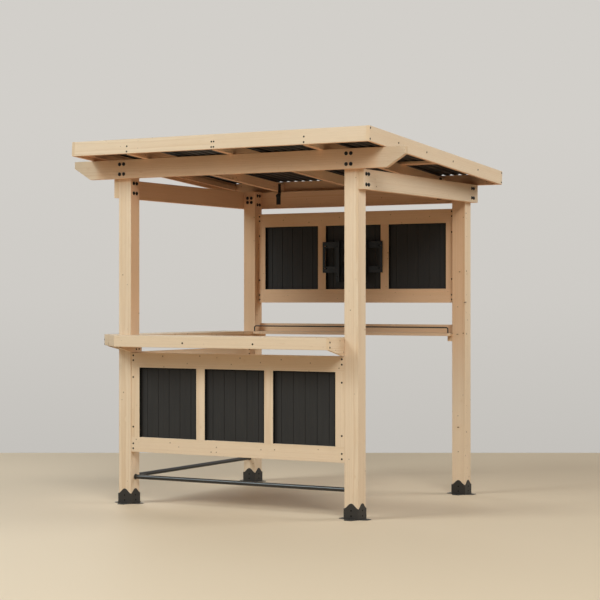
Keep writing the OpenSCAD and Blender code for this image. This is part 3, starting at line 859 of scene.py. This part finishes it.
def railTube(start, end, axis, look):
    # a closed section turned about the rail: socket, tube and socket outside, the bore inside
    length, socket, lip = look["length"], look["socket"], look["lip"]
    outer = [[look["bore"], 0], [socket - look["ease"], 0], [socket, look["ease"]], [socket, length - lip],
             [socket - lip, length], [look["tube"], length]]
    long = end[axis] - start[axis]
    profile = np.array(outer + [[r, long - h] for r, h in outer[::-1]])
    angle = np.linspace(0, 2 * pi, look["sides"], endpoint=False)
    a, b = otherAxes(axis)
    rings = np.empty((len(profile), look["sides"], 3))
    rings[..., axis] = start[axis] + profile[:, 1, None]
    rings[..., a] = start[a] + profile[:, 0, None] * np.cos(angle)
    rings[..., b] = start[b] + profile[:, 0, None] * np.sin(angle)
    return ringShell(rings, loop=True)


footZ = centre("foot_rails")[2]
railY, railX = frontY + postSize / 2, halfOut + postSize / 2
feet = Piece("foot_rails")
feet.add(railTube([-innerX, railY, footZ], [innerX, railY, footZ], 0, footRail))
feet.add(railTube([railX, innerFrontY, footZ], [railX, innerBackY, footZ], 1, footRail))
feet.done(steel["railSteel"], "black_steel")

# rafter straps

strap = {"width": 0.033, "thick": 0.0020, "corner": 0.0007, "twist": 0.034, "twistFrom": 0.008, "steps": 14,
         "end": 0.0008}


def twistedStrap(place, top, foot, twistTop, look):
    # a flat section carried down; its turn rises from 0 to 90 degrees by 3 t^2 - 2 t^3 through the twist
    wide, thick = look["width"], look["thick"]
    twist = np.linspace(twistTop, twistTop - look["twist"], look["steps"])
    heights = np.r_[top, top - look["end"], twist, foot + look["end"], foot]
    t = np.clip((twistTop - heights) / look["twist"], 0, 1)
    angle = -pi / 2 - pi / 2 * t * t * (3 - 2 * t)
    way = np.stack([np.cos(angle), np.sin(angle)], 1)
    square = np.stack([-way[:, 1], way[:, 0]], 1)
    section = roundCorners([[0, 0], [wide, 0], [wide, thick], [0, thick]], look["corner"])
    plan = section[None, :, :1] * way[:, None] + section[None, :, 1:] * square[:, None]
    return ringShell(lift(plan + place, heights, 2))


low, high = span("rafter_straps")
backHeaderHigh = span("back_header")[1]
straps = Piece("rafter_straps")
for node in rafters:
    place = [span(node)[1][0], backY]
    straps.add(twistedStrap(place, high[2], low[2], backHeaderHigh[2] - strap["twistFrom"], strap))
straps.done(steel["blackSteel"], "black_steel")
print("metalwork made")

# bolts and screws: each head is a profile of (radius, height) pairs

boltHead = {"sides": 18, "star": (0.06, 4, 7), "profile": [
    [0.0108, -0.0006], [0.0112, 0.0], [0.0112, 0.0012], [0.0106, 0.0017], [0.0075, 0.0017],
    [0.0075, 0.0060], [0.0062, 0.0068], [0.0030, 0.0072]]}
screwHead = {"sides": 12, "star": (0.2, 3, 5), "profile": [
    [0.0052, -0.0006], [0.0057, 0.0002], [0.0054, 0.0010], [0.0032, 0.0013], [0.0022, 0.0009]]}
anchorHead = {"sides": 12, "star": (0.2, 3, 5), "profile": [
    [0.0042, -0.0006], [0.0047, 0.0002], [0.0045, 0.0010], [0.0028, 0.0013], [0.0019, 0.0009]]}
roofHead = {"sides": 12, "profile": [
    [0.0070, -0.0014], [0.0074, -0.0006], [0.0066, 0.0002], [0.0038, 0.0006], [0.0036, 0.0018],
    [0.0030, 0.0020]]}


def fasten(name, material, head, spots):
    # the same head at each spot, a place and the direction it faces
    piece = Piece(name)
    for place, normal in spots:
        piece.add(turned(head, np.array(place), normal))
    piece.done(material, "black_steel", sharp=50)


def fourBolts(place, normal, spread):
    # four places about the middle: two across and two up
    across = 1 if abs(normal[0]) > 0.5 else 0
    spots = []
    for a in (-spread[0] / 2, spread[0] / 2):
        for b in (-spread[1] / 2, spread[1] / 2):
            spot = np.array(place, float)
            spot[across] += a
            spot[2] += b
            spots.append((spot, normal))
    return spots


# spread is across and up; the back header's bolts sit closer, at their own height
spread, backSpread, backZ = (0.030, 0.060), (0.030, 0.029), 1.918
bolts = []
headerZ, beamZ = centre("front_header")[2], centre("side_beam_left")[2]
for side, sign in (("left", -1), ("right", 1)):
    front, back = span(f"post_front_{side}"), span(f"post_back_{side}")
    postX = centre(f"post_front_{side}")[0]
    outX = span(f"side_beam_{side}")[1 if sign > 0 else 0][0]
    bolts += fourBolts([postX, headerFront, headerZ], [0, -1, 0], spread)
    bolts += fourBolts([postX, front[1][1], headerZ], [0, 1, 0], spread)
    bolts += fourBolts([postX, back[0][1], backZ], [0, -1, 0], backSpread)
    bolts += fourBolts([postX, backHeaderHigh[1], backZ], [0, 1, 0], backSpread)
    for low, high in (front, back):
        innerFace, postY = low[0] if sign > 0 else high[0], (low[1] + high[1]) / 2
        bolts += fourBolts([outX, postY, beamZ], [sign, 0, 0], spread)
        bolts += fourBolts([innerFace, postY, beamZ], [-sign, 0, 0], spread)
fasten("frame_bolts", steel["boltBlack"], boltHead, bolts)


def onRoof(x, y, z):
    # from the frame turned down the slope back to the shared one
    return slope @ np.array([x, y, z])


# metres from the middle or the edge of the board that each screw holds
screwing = {
    "frontColumns": ((-0.004,), (-0.012, 0.003), (-0.004,)), "frontRows": (0.012, 0.043), "frontSunk": 0.0008,
    "backRows": (-0.018, 0.018),
    "sideRuns": (0.357, 0.724, 1.091, 1.459), "sideEnd": 0.010, "sideRows": (-0.030, 0.030),
    "wallIn": (0.0145, 0.018), "wallUp": (0.021, 0.051, 0.152), "wallDown": (0.149, 0.047, 0.017),
    "apronFront": (-0.244, 0.236), "apronFrontRow": -0.007,
    "apronIn": 0.008, "apronRows": (-0.020, 0.009), "slantIn": 0.007, "slantDown": 0.008,
    "bracketRuns": (0.032, 0.060), "bracketUp": 0.017,
    "anchorRows": (0.022, 0.052), "anchorThick": 0.003,
}
screws = []
outFront, outBack, outUp = onRoof(0, -1, 0), onRoof(0, 1, 0), onRoof(0, 0, 1)
rafterX = [centre(node)[0] for node in rafters]
fasciaZ, backFasciaZ = centre("fascia_front", slope)[2], centre("fascia_back", slope)[2]
frontFace = fasciaLow[1] + screwing["frontSunk"]
backFace = span("fascia_back", slope)[1][1]
frontX = [x + shift for x, columns in zip(rafterX, screwing["frontColumns"]) for shift in columns]
for x in frontX:
    screws += [(onRoof(x, frontFace, fasciaLow[2] + rise), outFront) for rise in screwing["frontRows"]]
for x in rafterX:
    screws += [(onRoof(x, backFace, backFasciaZ + rise), outBack) for rise in screwing["backRows"]]
for side, sign in (("left", -1), ("right", 1)):
    low, high = span(f"fascia_{side}", slope)
    face, out = high[0] if sign > 0 else low[0], [sign, 0, 0]
    screws += [(onRoof(face, low[1] + run, fasciaZ), out) for run in screwing["sideRuns"]]
    for y in (low[1] + screwing["sideEnd"], high[1] - screwing["sideEnd"]):
        screws += [(onRoof(face, y, fasciaZ + rise), out) for rise in screwing["sideRows"]]

for low, high, swap in walls.values():
    heights = [low[2] + up for up in screwing["wallUp"]] + [high[2] - down for down in screwing["wallDown"]]
    for x in (low[0] + screwing["wallIn"][0], high[0] - screwing["wallIn"][1]):
        for z in heights:
            for face, way in ((low[1], -1), (high[1], 1)):
                screws.append((swap @ np.array([x, face, z]), swap @ np.array([0, way, 0])))

apronZ = (apronBottom + apronTop) / 2
inset, slantIn, apronRow = screwing["apronIn"], screwing["slantIn"], apronZ + screwing["apronFrontRow"]
screws += [([x, apronY, apronRow], [0, -1, 0]) for x in screwing["apronFront"]]
for rise in screwing["apronRows"]:
    screws.append(([innerX, apronY + inset, apronZ + rise], [1, 0, 0]))
    screws.append(([apronX + inset, innerBackY, apronZ + rise], [0, 1, 0]))
    slantZ = apronZ + rise - screwing["slantDown"]
    screws.append(([apronX + slantIn, apronY + cut - slantIn, slantZ], [-1, -1, 0]))
for run in screwing["bracketRuns"]:
    for sign in (1, -1):
        face = sign * (thick - innerX)
        screws.append(([face, frontY + run, foot + screwing["bracketUp"]], [sign, 0, 0]))
fasten("wood_screws", screwBronze, screwHead, screws)

anchorScrews = []
out = postSize / 2 + screwing["anchorThick"]
for post in ("front_left", "front_right", "back_left", "back_right"):
    x, y = centre(f"post_{post}")[:2]
    for a, b in ([1, 0], [-1, 0], [0, 1], [0, -1]):
        anchorScrews += [([x + out * a, y + out * b, z], [a, b, 0]) for z in screwing["anchorRows"]]
fasten("anchor_screws", screwBronze, anchorHead, anchorScrews)

# roof screws: on the crest of every third wave over each purlin
roofScrews = []
wavePitch = (sheetHigh[0] - sheetLow[0]) / sheet["waves"]
for start in purlinStarts:
    for wave in range(1, sheet["waves"], 3):
        x = sheetLow[0] + (wave + 0.5 - sheet["phase"]) * wavePitch
        roofScrews.append((onRoof(x, start + roof["purlinWidth"] / 2, sheetHigh[2]), outUp))
fasten("roof_screws", steel["roofSteel"], roofHead, roofScrews)
print("fasteners made:", len(bolts), "bolts,", len(screws), "wood screws")

# finishes on the frame's own nodes

anchors = [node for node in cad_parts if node.startswith("anchor_")]
for node in ("screen_wall_plate", "screen_arms", *anchors):
    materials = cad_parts[node].data.materials
    materials.clear()
    materials.append(steel["anchorSteel" if node in anchors else "mountSteel"])

# floor, backdrop, light and camera

stage = {
    "floor": shade(230, 206, 177),
    "floorFrom": 3.0,       # metres ahead of the camera at the floor's two ends, and aside at its edges
    "floorTo": 13.8,
    "floorSide": 12.0,
    "heading": radians(29.78),
    "eye": (5.290, -9.1575, 1.2384),
    "lens": 102.18,
    "ambient": 0.027,
    "fill": shade(255, 240, 225),
    # the wall's colours up the ramp, where 0.5 is level with the eye: painted light, darker towards the floor
    "wall": ((0.28, shade(196, 193, 188)), (0.5, shade(206, 203, 198)), (0.75, shade(210, 207, 202))),
    "wallSpread": 2.5,
    "lampSize": (4.0, 3.0),
    "lampTarget": (0.0, 0.0, 1.0),
}


def makeFloor(look):
    # one wide face that ends in a straight line across the view
    f = Finish("floor")
    f.paint(Base_Color=look["floor"], Roughness=0.6, Specular_IOR_Level=0.2)
    ahead = np.array([-sin(look["heading"]), cos(look["heading"]), 0])
    right = np.array([ahead[1], -ahead[0], 0])
    under = np.array(look["eye"]) * [1, 1, 0]
    near, far, side = look["floorFrom"], look["floorTo"], look["floorSide"]
    ends = (near, -side), (near, side), (far, side), (far, -side)
    corners = [under + a * ahead + b * right for a, b in ends]
    mesh = bpy.data.meshes.new("floor")
    mesh.from_pydata([corner.tolist() for corner in corners], [], [[0, 1, 2, 3]])
    mesh.materials.append(f.material)
    intoScene("floor", mesh)


def makeCamera(look):
    # upright and level, turned about Z by the heading alone
    camera = bpy.data.cameras.new("camera")
    camera.lens, camera.sensor_width, camera.clip_end = look["lens"], 36, 200
    viewer = intoScene("camera", camera)
    viewer.location, viewer.rotation_euler = look["eye"], (pi / 2, 0, look["heading"])
    bpy.context.scene.camera = viewer


def makeWorld(look):
    # plain light all round; what the camera and mirrors see of it is the wall, with painted light that
    # darkens it towards the floor
    world = bpy.data.worlds.new("world")
    bpy.context.scene.world = world
    world.use_nodes = True
    sky = Nodes(world.node_tree)
    plain = sky.tree.nodes["Background"]
    plain.inputs["Color"].default_value = look["fill"]
    plain.inputs["Strength"].default_value = look["ambient"]
    height = sky.parts(sky.add("TexCoord", {}, "Generated"))[2]
    # painted light: the wall grows darker towards the floor and lighter towards the top
    wall = sky.ramp(height * look["wallSpread"] + 0.5, look["wall"])
    seen = sky.add("Background", {"Color": wall})
    direct = sky.add("LightPath", {}, "Is Camera Ray")
    mirrored = sky.add("LightPath", {}, "Is Glossy Ray")
    shown = direct.maths("MAXIMUM", mirrored)
    mixed = sky.add("MixShader", {"Fac": shown, 1: Wire(sky, plain.outputs[0]), 2: seen})
    sky.connect(mixed, sky.tree.nodes["World Output"].inputs["Surface"])


lamps = {
    "frontRight": {"place": (5.0, -6.0, 6.0), "power": 380, "tint": (0.94, 0.99, 0.98)},
    "highLeft": {"place": (-5.0, -7.0, 8.0), "power": 397, "tint": (0.93, 1.05, 1.07)},
    "frontLeft": {"place": (-5.0, -7.0, 5.0), "power": 118, "tint": (0.93, 1.05, 1.07)},
    "backRight": {"place": (7.0, 4.0, 5.0), "power": 260, "tint": (0.94, 1.0, 1.0)},
    "backLeft": {"place": (-7.0, 5.0, 5.0), "power": 150, "tint": (0.94, 1.0, 1.0)},
}


def makeLamp(name, look):
    # a wide rectangle that faces the middle of the gazebo
    lamp = bpy.data.lights.new(name, "AREA")
    lamp.shape, lamp.energy, lamp.color = "RECTANGLE", look["power"], look["tint"]
    lamp.size, lamp.size_y = stage["lampSize"]
    made = intoScene(name, lamp)
    made.location = look["place"]
    way = Vector(stage["lampTarget"]) - made.location
    made.rotation_euler = way.to_track_quat("-Z", "Y").to_euler()


makeFloor(stage)
makeCamera(stage)
makeWorld(stage)
for name, look in lamps.items():
    makeLamp(name, look)
bpy.context.scene.view_settings.view_transform = "Standard"
print("stage made")
